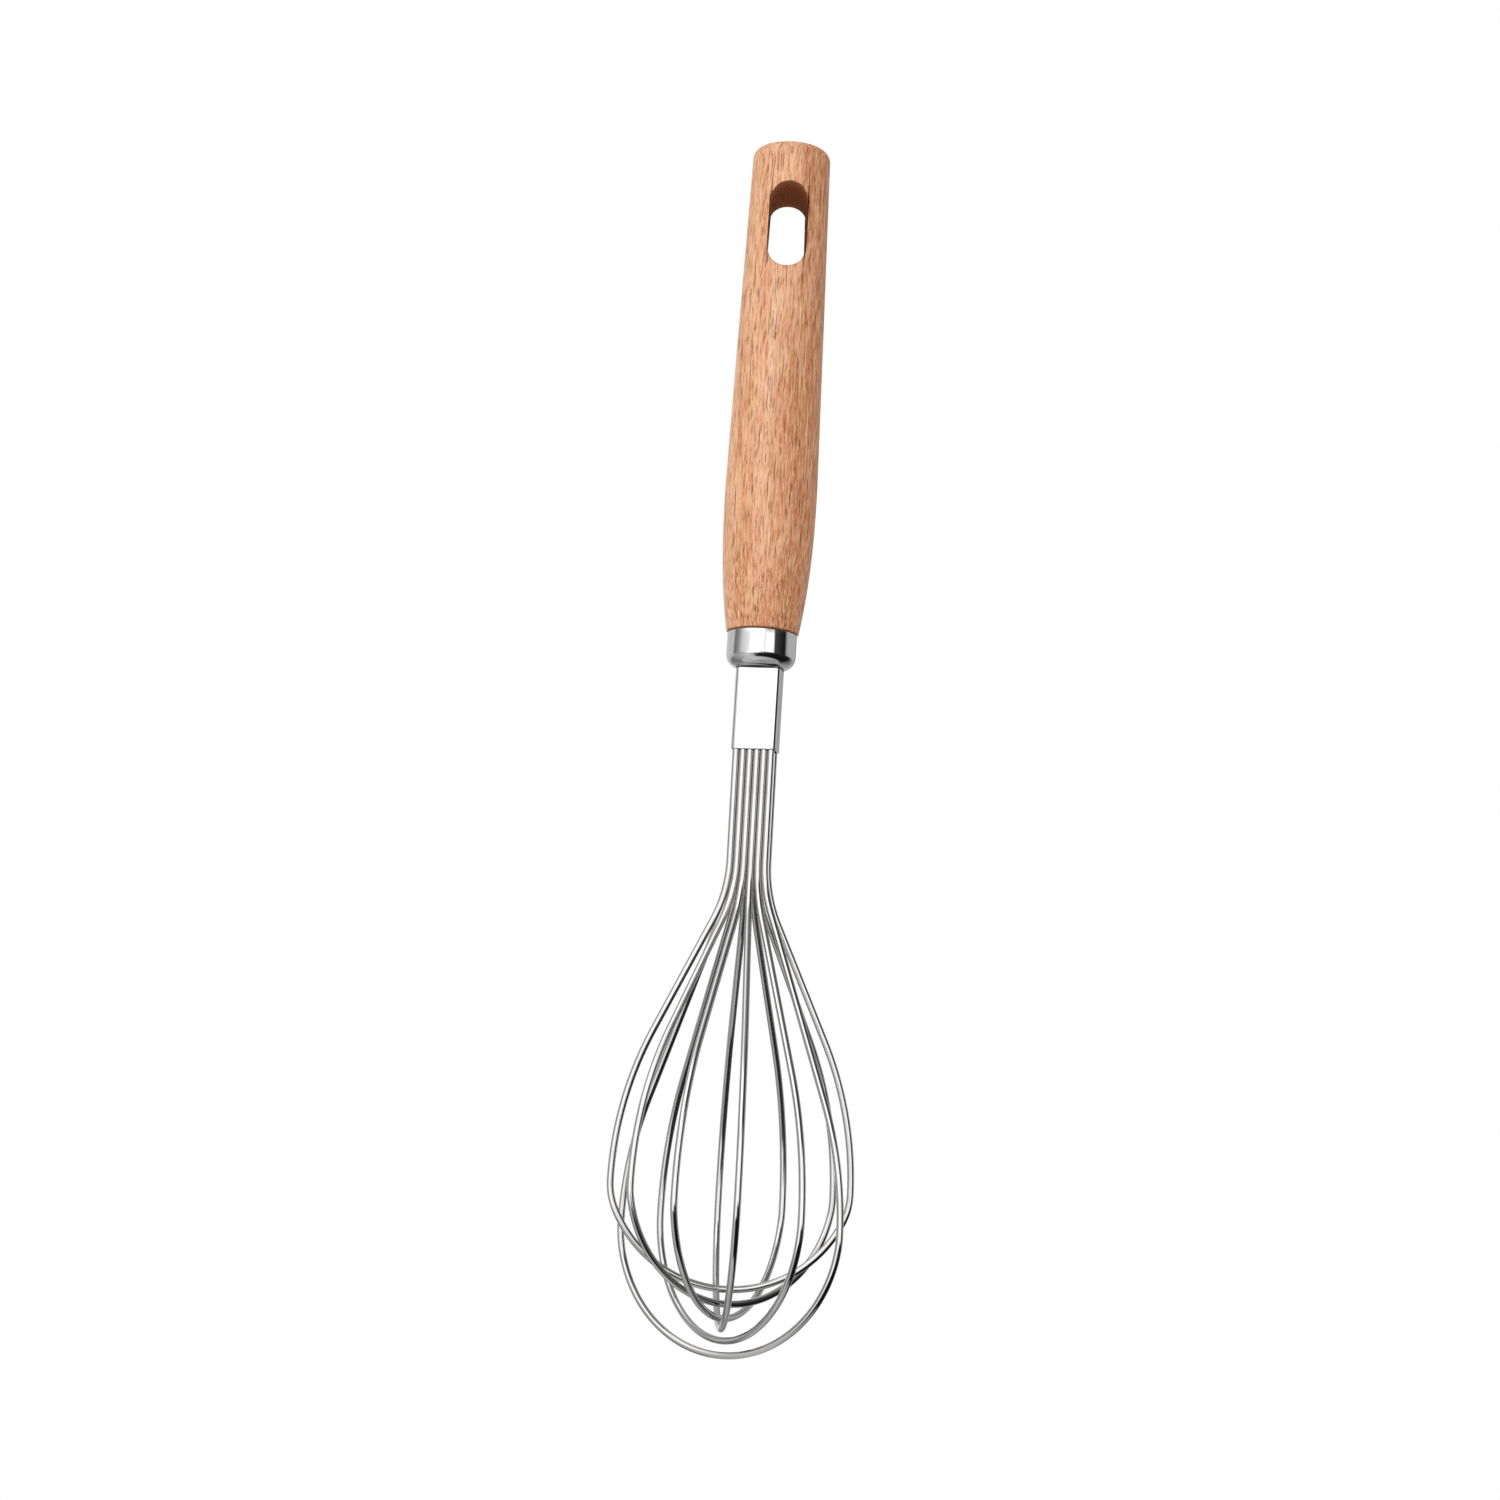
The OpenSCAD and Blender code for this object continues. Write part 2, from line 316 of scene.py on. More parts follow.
def lofted(name, rings):
    """A skin over rings of as many points each, from the first ring round to the first again."""
    count = len(rings[0])
    vertices = [p for ring in rings for p in ring]
    faces = []
    for row in range(len(rings)):
        below = (row + 1) % len(rings)
        for k in range(count):
            after = (k + 1) % count
            faces.append((row * count + k, below * count + k, below * count + after, row * count + after))
    return add_piece(name, vertices, [], faces)


def sleeve_cutter():
    """A prism a little larger than the sleeve, which opens the cap's floor."""
    outline = sleeve_outline(SLEEVE_W + 2 * SLEEVE_SEAM, SLEEVE_D + 2 * SLEEVE_SEAM, SLEEVE_CORNER_R)
    cutter = add_piece("sleeve_cutter", [(p.x, p.y, CAP_Z) for p in outline], [], [range(len(outline))])
    depth = cutter.modifiers.new("depth", "SOLIDIFY")
    depth.thickness = 4 * CAP_WALL
    depth.offset = 0
    settle(cutter)
    return cutter


def cap_profile():
    """The cup's inside from the floor to the lip, then its outside down to the floor again."""
    inner_r = CAP_R - CAP_WALL
    inner_edge_r = CAP_EDGE_R - CAP_WALL
    inner_floor = CAP_Z + CAP_WALL
    inside = [(0, inner_floor)]
    inside += arc((inner_r - inner_edge_r, inner_floor + inner_edge_r), inner_edge_r, -pi / 2, 0, 6)
    lip = arc((inner_r + CAP_LIP_R, RIM_Z - CAP_LIP_R), CAP_LIP_R, pi, pi / 2, 3)
    lip += arc((CAP_R - CAP_LIP_R, RIM_Z - CAP_LIP_R), CAP_LIP_R, pi / 2, 0, 4)
    outside = arc((CAP_R - CAP_EDGE_R, CAP_Z + CAP_EDGE_R), CAP_EDGE_R, 0, -pi / 2, 16)
    return inside + lip + outside + [(0, CAP_Z)]


def make_cap(material):
    """The cup under the handle, its floor opened for the sleeve."""
    cap = turned("ferrule_cup", cap_profile())
    settle(cap)
    cut(cap, sleeve_cutter())
    finish_piece(cap, [material], "ferrule_cap")


def make_sleeve(steel, painted_cap_shade):
    """A tube whose mouth is rolled in a little on the outside, with a band just under the cap painted dark as
    shade.
    """
    lip = arc((SLEEVE_LIP_R, MOUTH_Z + SLEEVE_LIP_R), SLEEVE_LIP_R, pi, 3 * pi / 2, 6)
    outside = [(0, SLEEVE_TOP_Z), (0, CAP_Z), (0, CAP_Z - CAP_SHADE_BAND)]
    inside = [(SLEEVE_WALL, MOUTH_Z), (SLEEVE_WALL, SLEEVE_TOP_Z)]
    rings = []
    for inset, z in outside + lip + inside:
        outline = sleeve_outline(SLEEVE_W - 2 * inset, SLEEVE_D - 2 * inset, SLEEVE_CORNER_R - inset)
        rings.append([(p.x, p.y, z) for p in outline])
    sleeve = lofted("pressed_sleeve", rings)
    sleeve.data.set_sharp_from_angle(angle=radians(50))
    finish_piece(sleeve, [steel, painted_cap_shade], "wire_sleeve")
    count = len(rings[0])
    # the band just under the cap takes the dark painted shade
    for face in sleeve.data.polygons[count:2 * count]:
        face.material_index = 1


# ---- wires ----

def leaned(x, y, z):
    """A point of a wire below the mouth, moved aside as the whole balloon leans."""
    return (x + (MOUTH_Z - z) * tan(BALLOON_LEAN), y, z)


def half_loop(i, side):
    """Centre line of half a loop, from its end in the handle to its tip.

    It leaves its row straight down, bends outwards in the plane that holds its leg and its widest
    point, and goes round the bowl in the loop's own plane. side is -1 for the front row, 1 for the back."""
    turn = FAN_START + i * FAN_STEP + radians(HAND_TURN[i]) + (pi if side > 0 else 0)
    out = Vector((cos(turn), sin(turn)))
    beside = -side * HAND_SHIFT[i] * MM * Vector((-out.y, out.x))
    widest_r = BALLOON_R + i * BALLOON_STEP + HAND_SWELL[i] * MM
    waist_z = MOUTH_Z - WAIST_DROP - i * WAIST_STEP + HAND_WAIST[i] * MM
    tip_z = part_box(f"wire_loop_{i + 1}")[0].z + WIRE_R
    neck_z = MOUTH_Z - NECK_DROP

    leg = Vector((-side * (i - (LOOPS - 1) / 2) * WIRE_PITCH, side * ROW_PITCH / 2))
    to_waist = widest_r * out + beside - leg
    run = to_waist.length
    away = to_waist.normalized()
    bends = NECK_BEND_R + FLANK_R
    fall = neck_z - waist_z
    straight = sqrt(fall ** 2 + (bends - run) ** 2 - bends ** 2)
    lean = atan2(fall, bends - run) - atan2(straight, bends)
    upper = arc((NECK_BEND_R, neck_z), NECK_BEND_R, pi, pi + lean, NECK_STEPS)
    upper += arc((run - FLANK_R, waist_z), FLANK_R, lean, 0, FLANK_STEPS)

    bowl_h = waist_z - tip_z
    shoulder_x = widest_r - SHOULDER_R
    base_r = (shoulder_x ** 2 + bowl_h ** 2 - SHOULDER_R ** 2) / (2 * (bowl_h - SHOULDER_R))
    blend = -pi / 2 + atan2(shoulder_x, base_r - bowl_h)
    shoulder_steps = ceil(-blend / (pi / 2) * BOWL_STEPS)
    lower = arc((shoulder_x, waist_z), SHOULDER_R, 0, blend, shoulder_steps)[1:]
    lower += arc((0, tip_z + base_r), base_r, blend, -pi / 2, BOWL_STEPS - shoulder_steps)[1:]

    line = [(leg.x, leg.y, WIRE_TOP_Z), (leg.x, leg.y, MOUTH_Z)]
    for reach, z in upper:
        line.append(leaned(leg.x + reach * away.x, leg.y + reach * away.y, z))
    for reach, z in lower:
        line.append(leaned(reach * out.x + beside.x, reach * out.y + beside.y, z))
    return line


def make_wire_loop(i, material):
    """One loop, from its front leg round the bowl to its back leg."""
    front = half_loop(i, -1)
    back = half_loop(i, 1)
    turn = Matrix.Rotation(HEAD_TURN, 3, "Z")
    path = [turn @ Vector(p) for p in front + back[-2::-1]]
    line = bpy.data.curves.new(f"whisk_wire_{i + 1}", "CURVE")
    line.dimensions = "3D"
    line.bevel_depth = WIRE_R
    line.bevel_resolution = 6
    line.use_fill_caps = True
    spline = line.splines.new("POLY")
    spline.points.add(len(path) - 1)
    for point, place in zip(spline.points, path):
        point.co = (*place, 1)
    spline.use_smooth = True
    wire = bpy.data.objects.new(line.name, line)
    bpy.context.scene.collection.objects.link(wire)
    finish_piece(wire, [material], f"wire_loop_{i + 1}")


# ---- materials ----

def beech(name, shade, roughness, lacquered):
    """Beech cut along the grain: fine fibres, ray flecks and warm patches under a satin lacquer.

    shade is the share of red, green and blue that its tones keep: for the slot's wall, darker partly as rough
    unlacquered wood and partly as painted shade of the recess, and near black for the tenon, as painted shade
    in the gap under the foot. lacquered is how much of the lacquer's gloss it has."""
    red, green, blue = shade
    pink = (0.78 * red, 0.4 * green, 0.228 * blue, 1)
    cream = (0.83 * red, 0.465 * green, 0.262 * blue, 1)
    russet = (0.56 * red, 0.20 * green, 0.07 * blue, 1)
    fibre_brown = (0.36 * red, 0.12 * green, 0.04 * blue, 1)
    fleck_brown = (0.16 * red, 0.042 * green, 0.012 * blue, 1)
    straw = (0.93 * red, 0.6 * green, 0.39 * blue, 1)
    # pale cream for the painted highlight down the front
    painted_highlight = (0.92 * red, 0.62 * green, 0.45 * blue, 1)

    material = bpy.data.materials.new(name)
    material.use_nodes = True
    nodes = material.node_tree.nodes
    links = material.node_tree.links
    nodes.clear()

    place = nodes.new("ShaderNodeTexCoord")
    place.label = "Place in the wood"
    place.location = (-2800, 0)

    # the grain wanders a little from the axis
    wander_frame = nodes.new("NodeFrame")
    wander_frame.label = "Wandering grain"
    wander = nodes.new("ShaderNodeTexNoise")
    wander.label = "Slow sideways drift"
    wander.location = (-2600, 200)
    wander.parent = wander_frame
    wander.inputs["Scale"].default_value = 45
    wander.inputs["Detail"].default_value = 1
    drift = nodes.new("ShaderNodeVectorMath")
    drift.label = "Drift in metres"
    drift.location = (-2400, 200)
    drift.parent = wander_frame
    drift.operation = "MULTIPLY"
    drift.inputs[1].default_value = (0.0006, 0.0006, 0)
    grain_place = nodes.new("ShaderNodeVectorMath")
    grain_place.label = "Place along the drifting grain"
    grain_place.location = (-2200, 100)
    grain_place.parent = wander_frame
    grain_place.operation = "ADD"
    links.new(place.outputs["Object"], wander.inputs["Vector"])
    links.new(wander.outputs["Color"], drift.inputs[0])
    links.new(place.outputs["Object"], grain_place.inputs[0])
    links.new(drift.outputs["Vector"], grain_place.inputs[1])

    # pinkish and creamy blotches a few millimetres long
    blotch_frame = nodes.new("NodeFrame")
    blotch_frame.label = "Blotches"
    blotch_map = nodes.new("ShaderNodeMapping")
    blotch_map.label = "Longer than wide"
    blotch_map.location = (-1900, 900)
    blotch_map.parent = blotch_frame
    blotch_map.inputs["Scale"].default_value = (350, 350, 90)
    blotch = nodes.new("ShaderNodeTexNoise")
    blotch.label = "Where the wood is creamy"
    blotch.location = (-1700, 900)
    blotch.parent = blotch_frame
    blotch.inputs["Scale"].default_value = 1
    blotch.inputs["Detail"].default_value = 2
    blotch_tone = nodes.new("ShaderNodeValToRGB")
    blotch_tone.label = "Pinkish to creamy"
    blotch_tone.location = (-1500, 900)
    blotch_tone.parent = blotch_frame
    blotch_tone.color_ramp.elements[0].position = 0.38
    blotch_tone.color_ramp.elements[0].color = pink
    blotch_tone.color_ramp.elements[1].position = 0.62
    blotch_tone.color_ramp.elements[1].color = cream
    links.new(grain_place.outputs["Vector"], blotch_map.inputs["Vector"])
    links.new(blotch_map.outputs["Vector"], blotch.inputs["Vector"])
    links.new(blotch.outputs["Fac"], blotch_tone.inputs["Fac"])

    # broad russet patches, and more of them to the right, partly heartwood and partly painted shade on the
    # side away from the key lamp
    patch_frame = nodes.new("NodeFrame")
    patch_frame.label = "Russet patches"
    patch_map = nodes.new("ShaderNodeMapping")
    patch_map.label = "Long patches"
    patch_map.location = (-1900, 500)
    patch_map.parent = patch_frame
    patch_map.inputs["Scale"].default_value = (130, 130, 24)
    patch = nodes.new("ShaderNodeTexNoise")
    patch.label = "Where the wood is redder"
    patch.location = (-1700, 500)
    patch.parent = patch_frame
    patch.inputs["Scale"].default_value = 1
    patch.inputs["Detail"].default_value = 2
    board = nodes.new("ShaderNodeVectorMath")
    board.label = "Across the board, a little askew"
    board.location = (-1900, 300)
    board.parent = patch_frame
    board.operation = "DOT_PRODUCT"
    board.inputs[1].default_value = (1, 0, -0.025)
    # the russet to the right is partly heartwood and partly painted shade of the side away from the key lamp
    heartwood_and_shade = nodes.new("ShaderNodeMapRange")
    heartwood_and_shade.label = "Heartwood and painted shade to the right"
    heartwood_and_shade.location = (-1700, 300)
    heartwood_and_shade.parent = patch_frame
    heartwood_and_shade.inputs["From Min"].default_value = 1.5 * MM
    heartwood_and_shade.inputs["From Max"].default_value = 4.5 * MM
    heartwood_and_shade.inputs["To Max"].default_value = 0.24
    heights = nodes.new("ShaderNodeSeparateXYZ")
    heights.label = "How high up the handle"
    heights.location = (-1900, 150)
    heights.parent = patch_frame
    foot = nodes.new("ShaderNodeMapRange")
    foot.label = "Redder towards the foot"
    foot.location = (-1700, 150)
    foot.parent = patch_frame
    foot.inputs["From Min"].default_value = -65 * MM
    foot.inputs["From Max"].default_value = -98 * MM
    foot.inputs["To Max"].default_value = 0.12
    regions = nodes.new("ShaderNodeMath")
    regions.label = "Heartwood, painted shade and foot"
    regions.location = (-1500, 250)
    regions.parent = patch_frame
    patch_sum = nodes.new("ShaderNodeMath")
    patch_sum.label = "With the patches"
    patch_sum.location = (-1400, 400)
    patch_sum.parent = patch_frame
    patch_range = nodes.new("ShaderNodeMapRange")
    patch_range.label = "How red"
    patch_range.location = (-1300, 400)
    patch_range.parent = patch_frame
    patch_range.inputs["From Min"].default_value = 0.49
    patch_range.inputs["From Max"].default_value = 0.75
    patch_range.inputs["To Max"].default_value = 0.7
    patch_mix = nodes.new("ShaderNodeMix")
    patch_mix.label = "Redden"
    patch_mix.location = (-1100, 700)
    patch_mix.parent = patch_frame
    patch_mix.data_type = "RGBA"
    patch_mix.inputs["B"].default_value = russet
    links.new(place.outputs["Object"], patch_map.inputs["Vector"])
    links.new(patch_map.outputs["Vector"], patch.inputs["Vector"])
    links.new(place.outputs["Object"], board.inputs[0])
    links.new(board.outputs["Value"], heartwood_and_shade.inputs["Value"])
    links.new(place.outputs["Object"], heights.inputs["Vector"])
    links.new(heights.outputs["Z"], foot.inputs["Value"])
    links.new(heartwood_and_shade.outputs["Result"], regions.inputs[0])
    links.new(foot.outputs["Result"], regions.inputs[1])
    links.new(patch.outputs["Fac"], patch_sum.inputs[0])
    links.new(regions.outputs["Value"], patch_sum.inputs[1])
    links.new(patch_sum.outputs["Value"], patch_range.inputs["Value"])
    links.new(patch_range.outputs["Result"], patch_mix.inputs["Factor"])
    links.new(blotch_tone.outputs["Color"], patch_mix.inputs["A"])

    # one pale streak down the front, a painted highlight where the gloss catches the handle
    streak_frame = nodes.new("NodeFrame")
    streak_frame.label = "Painted highlight streak"
    streak_centre = nodes.new("ShaderNodeVectorMath")
    streak_centre.label = "From the streak's middle"
    streak_centre.location = (-1900, 1300)
    streak_centre.parent = streak_frame
    streak_centre.operation = "SUBTRACT"
    streak_centre.inputs[1].default_value = (-1.6 * MM, -10 * MM, -38 * MM)
    streak_shape = nodes.new("ShaderNodeVectorMath")
    streak_shape.label = "Long and narrow"
    streak_shape.location = (-1700, 1300)
    streak_shape.parent = streak_frame
    streak_shape.operation = "MULTIPLY"
    streak_shape.inputs[1].default_value = (1100, 125, 30)
    streak_reach = nodes.new("ShaderNodeVectorMath")
    streak_reach.label = "Distance across the streak"
    streak_reach.location = (-1500, 1300)
    streak_reach.parent = streak_frame
    streak_reach.operation = "LENGTH"
    streak_edge = nodes.new("ShaderNodeMapRange")
    streak_edge.label = "Its soft edge"
    streak_edge.location = (-1300, 1300)
    streak_edge.parent = streak_frame
    streak_edge.inputs["From Min"].default_value = 1.1
    streak_edge.inputs["From Max"].default_value = 0.2
    streak_edge.inputs["To Max"].default_value = 0.65
    streak_mix = nodes.new("ShaderNodeMix")
    streak_mix.label = "Lay in the streak"
    streak_mix.location = (-1000, 1000)
    streak_mix.parent = streak_frame
    streak_mix.data_type = "RGBA"
    streak_mix.inputs["B"].default_value = painted_highlight
    links.new(grain_place.outputs["Vector"], streak_centre.inputs[0])
    links.new(streak_centre.outputs["Vector"], streak_shape.inputs[0])
    links.new(streak_shape.outputs["Vector"], streak_reach.inputs[0])
    links.new(streak_reach.outputs["Value"], streak_edge.inputs["Value"])
    links.new(streak_edge.outputs["Result"], streak_mix.inputs["Factor"])
    links.new(patch_mix.outputs["Result"], streak_mix.inputs["A"])

    # fine fibres, brown on one side of the middle and straw on the other
    fibre_frame = nodes.new("NodeFrame")
    fibre_frame.label = "Fibres"
    fibre_map = nodes.new("ShaderNodeMapping")
    fibre_map.label = "Drawn out along the grain"
    fibre_map.location = (-1900, 0)
    fibre_map.parent = fibre_frame
    fibre_map.inputs["Scale"].default_value = (2200, 2200, 230)
    fibre = nodes.new("ShaderNodeTexNoise")
    fibre.label = "Early and late wood"
    fibre.location = (-1700, 0)
    fibre.parent = fibre_frame
    fibre.inputs["Scale"].default_value = 1
    fibre.inputs["Detail"].default_value = 3
    fibre.inputs["Roughness"].default_value = 0.75
    fibre_dark = nodes.new("ShaderNodeMapRange")
    fibre_dark.label = "Brown fibres"
    fibre_dark.location = (-1500, 0)
    fibre_dark.parent = fibre_frame
    fibre_dark.inputs["From Min"].default_value = 0.48
    fibre_dark.inputs["From Max"].default_value = 0.35
    fibre_dark.inputs["To Max"].default_value = 0.95
    fibre_pale = nodes.new("ShaderNodeMapRange")
    fibre_pale.label = "Straw fibres"
    fibre_pale.location = (-1500, -200)
    fibre_pale.parent = fibre_frame
    fibre_pale.inputs["From Min"].default_value = 0.52
    fibre_pale.inputs["From Max"].default_value = 0.64
    fibre_pale.inputs["To Max"].default_value = 0.6
    brown_mix = nodes.new("ShaderNodeMix")
    brown_mix.label = "Lay in the brown fibres"
    brown_mix.location = (-900, 500)
    brown_mix.parent = fibre_frame
    brown_mix.data_type = "RGBA"
    brown_mix.inputs["B"].default_value = fibre_brown
    straw_mix = nodes.new("ShaderNodeMix")
    straw_mix.label = "Lay in the straw fibres"
    straw_mix.location = (-700, 500)
    straw_mix.parent = fibre_frame
    straw_mix.data_type = "RGBA"
    straw_mix.inputs["B"].default_value = straw
    links.new(grain_place.outputs["Vector"], fibre_map.inputs["Vector"])
    links.new(fibre_map.outputs["Vector"], fibre.inputs["Vector"])
    links.new(fibre.outputs["Fac"], fibre_dark.inputs["Value"])
    links.new(fibre.outputs["Fac"], fibre_pale.inputs["Value"])
    links.new(fibre_dark.outputs["Result"], brown_mix.inputs["Factor"])
    links.new(streak_mix.outputs["Result"], brown_mix.inputs["A"])
    links.new(fibre_pale.outputs["Result"], straw_mix.inputs["Factor"])
    links.new(brown_mix.outputs["Result"], straw_mix.inputs["A"])

    # two sizes of ray fleck: short needles along the grain, each with a paler one beside it as a painted
    # highlight along its edge
    surface = straw_mix
    depths = []
    for size, stretch, strength in (("long", (1300, 1300, 95), 1), ("short", (2000, 2000, 300), 1)):
        low = -500 - 700 * len(depths)
        fleck_frame = nodes.new("NodeFrame")
        fleck_frame.label = f"Ray flecks, {size}"
        fleck_map = nodes.new("ShaderNodeMapping")
        fleck_map.label = "One fleck to a cell"
        fleck_map.location = (-1900, low)
        fleck_map.parent = fleck_frame
        fleck_map.inputs["Scale"].default_value = stretch
        fleck = nodes.new("ShaderNodeTexVoronoi")
        fleck.label = "Fleck places"
        fleck.location = (-1700, low)
        fleck.parent = fleck_frame
        fleck.inputs["Scale"].default_value = 1
        pick = nodes.new("ShaderNodeSeparateColor")
        pick.label = "A number for each fleck"
        pick.location = (-1500, low - 200)
        pick.parent = fleck_frame
        links.new(grain_place.outputs["Vector"], fleck_map.inputs["Vector"])
        links.new(fleck_map.outputs["Vector"], fleck.inputs["Vector"])
        links.new(fleck.outputs["Color"], pick.inputs["Color"])
        # the straw fleck beside each brown one is a painted highlight along its edge
        tints = (("brown", "Red", 0, fleck_brown), ("straw", "Green", 0.45, straw))
        for tint, chance, aside, colour in tints:
            centre = nodes.new("ShaderNodeVectorMath")
            centre.label = f"Middle of the {tint} fleck"
            centre.location = (-1500, low)
            centre.parent = fleck_frame
            centre.operation = "ADD"
            centre.inputs[1].default_value = (aside, 0, 0)
            away = nodes.new("ShaderNodeVectorMath")
            away.label = "From its middle"
            away.location = (-1300, low)
            away.parent = fleck_frame
            away.operation = "SUBTRACT"
            needle = nodes.new("ShaderNodeVectorMath")
            needle.label = "Needle shape"
            needle.location = (-1100, low)
            needle.parent = fleck_frame
            needle.operation = "MULTIPLY"
            needle.inputs[1].default_value = (4.2, 4.2, 2.1)
            reach = nodes.new("ShaderNodeVectorMath")
            reach.label = "Distance across it"
            reach.location = (-900, low)
            reach.parent = fleck_frame
            reach.operation = "LENGTH"
            outline = nodes.new("ShaderNodeMapRange")
            outline.label = "Its outline"
            outline.location = (-700, low)
            outline.parent = fleck_frame
            outline.inputs["From Min"].default_value = 1
            outline.inputs["From Max"].default_value = 0.6
            faint = nodes.new("ShaderNodeMapRange")
            faint.label = "Some are faint"
            faint.location = (-1300, low - 200)
            faint.parent = fleck_frame
            faint.inputs["From Min"].default_value = 0.1
            faint.inputs["To Max"].default_value = strength
            depth = nodes.new("ShaderNodeMath")
            depth.label = "Depth of colour"
            depth.location = (-500, low)
            depth.parent = fleck_frame
            depth.operation = "MULTIPLY"
            lay = nodes.new("ShaderNodeMix")
            lay.label = f"Lay in the {tint} flecks"
            lay.location = (-300, low + 300)
            lay.parent = fleck_frame
            lay.data_type = "RGBA"
            lay.inputs["B"].default_value = colour
            links.new(fleck.outputs["Position"], centre.inputs[0])
            links.new(fleck_map.outputs["Vector"], away.inputs[0])
            links.new(centre.outputs["Vector"], away.inputs[1])
            links.new(away.outputs["Vector"], needle.inputs[0])
            links.new(needle.outputs["Vector"], reach.inputs[0])
            links.new(reach.outputs["Value"], outline.inputs["Value"])
            links.new(pick.outputs[chance], faint.inputs["Value"])
            links.new(outline.outputs["Result"], depth.inputs[0])
            links.new(faint.outputs["Result"], depth.inputs[1])
            links.new(depth.outputs["Value"], lay.inputs["Factor"])
            links.new(surface.outputs["Result"], lay.inputs["A"])
            surface = lay
        depths.append(depth)

    # lacquer over it all, sunk a little into the grain
    lacquer_frame = nodes.new("NodeFrame")
    lacquer_frame.label = "Satin lacquer"
    relief = nodes.new("ShaderNodeMath")
    relief.label = "Fibres and flecks in relief"
    relief.location = (-300, -400)
    relief.parent = lacquer_frame
    grain_bump = nodes.new("ShaderNodeBump")
    grain_bump.label = "The grain is felt"
    grain_bump.location = (-100, -400)
    grain_bump.parent = lacquer_frame
    grain_bump.inputs["Strength"].default_value = 0.5
    grain_bump.inputs["Distance"].default_value = 0.04 * MM
    lacquer = nodes.new("ShaderNodeBsdfPrincipled")
    lacquer.label = "Lacquered wood"
    lacquer.location = (100, 0)
    lacquer.parent = lacquer_frame
    lacquer.inputs["Roughness"].default_value = roughness
    lacquer.inputs["Specular IOR Level"].default_value = 0.27 * lacquered
    lacquer.inputs["Coat Weight"].default_value = 0.06 * lacquered
    lacquer.inputs["Coat Roughness"].default_value = 0.22
    output = nodes.new("ShaderNodeOutputMaterial")
    output.label = "Wood surface"
    output.location = (400, 0)
    links.new(fibre.outputs["Fac"], relief.inputs[0])
    links.new(depths[0].outputs["Value"], relief.inputs[1])
    links.new(relief.outputs["Value"], grain_bump.inputs["Height"])
    links.new(grain_bump.outputs["Normal"], lacquer.inputs["Normal"])
    links.new(surface.outputs["Result"], lacquer.inputs["Base Color"])
    links.new(lacquer.outputs["BSDF"], output.inputs["Surface"])
    return material


def bright_steel(name, tone, roughness, line_scale, line_depth):
    """Polished steel with faint working lines.

    line_scale is how fine the lines are along X, Y and Z, per metre, and line_depth their depth."""
    material = bpy.data.materials.new(name)
    material.use_nodes = True
    nodes = material.node_tree.nodes
    links = material.node_tree.links
    nodes.clear()

    place = nodes.new("ShaderNodeTexCoord")
    place.label = "Place on the metal"
    place.location = (-1200, 0)

    line_frame = nodes.new("NodeFrame")
    line_frame.label = "Working lines"
    line_map = nodes.new("ShaderNodeMapping")
    line_map.label = "Stretched the way it was worked"
    line_map.location = (-1000, 200)
    line_map.parent = line_frame
    line_map.inputs["Scale"].default_value = line_scale
    lines = nodes.new("ShaderNodeTexNoise")
    lines.label = "Fine lines"
    lines.location = (-800, 200)
    lines.parent = line_frame
    lines.inputs["Scale"].default_value = 1
    lines.inputs["Detail"].default_value = 3
    line_bump = nodes.new("ShaderNodeBump")
    line_bump.label = "Barely felt"
    line_bump.location = (-300, -250)
    line_bump.parent = line_frame
    line_bump.inputs["Strength"].default_value = 0.2
    line_bump.inputs["Distance"].default_value = line_depth
    links.new(place.outputs["Object"], line_map.inputs["Vector"])
    links.new(line_map.outputs["Vector"], lines.inputs["Vector"])
    links.new(lines.outputs["Fac"], line_bump.inputs["Height"])

    haze_frame = nodes.new("NodeFrame")
    haze_frame.label = "Handling haze"
    haze = nodes.new("ShaderNodeTexNoise")
    haze.label = "Smudges"
    haze.location = (-800, -100)
    haze.parent = haze_frame
    haze.inputs["Scale"].default_value = 160
    haze.inputs["Detail"].default_value = 3
    haze_range = nodes.new("ShaderNodeMapRange")
    haze_range.label = "Polish, clean to smudged"
    haze_range.location = (-600, -100)
    haze_range.parent = haze_frame
    haze_range.inputs["From Min"].default_value = 0.35
    haze_range.inputs["From Max"].default_value = 0.7
    haze_range.inputs["To Min"].default_value = roughness * 0.8
    haze_range.inputs["To Max"].default_value = roughness * 1.4
    haze_tone = nodes.new("ShaderNodeValToRGB")
    haze_tone.label = "Clean metal to duller metal"
    haze_tone.location = (-600, -300)
    haze_tone.parent = haze_frame
    haze_tone.color_ramp.elements[0].position = 0.35
    haze_tone.color_ramp.elements[0].color = (*tone, 1)
    haze_tone.color_ramp.elements[1].position = 0.7
    haze_tone.color_ramp.elements[1].color = (*[0.92 * part for part in tone], 1)
    links.new(place.outputs["Object"], haze.inputs["Vector"])
    links.new(haze.outputs["Fac"], haze_range.inputs["Value"])
    links.new(haze.outputs["Fac"], haze_tone.inputs["Fac"])

    steel = nodes.new("ShaderNodeBsdfPrincipled")
    steel.label = "Steel"
    steel.location = (0, 0)
    steel.inputs["Metallic"].default_value = 1
    output = nodes.new("ShaderNodeOutputMaterial")
    output.label = "Metal surface"
    output.location = (300, 0)
    links.new(haze_tone.outputs["Color"], steel.inputs["Base Color"])
    links.new(haze_range.outputs["Result"], steel.inputs["Roughness"])
    links.new(line_bump.outputs["Normal"], steel.inputs["Normal"])
    links.new(steel.outputs["BSDF"], output.inputs["Surface"])
    return material


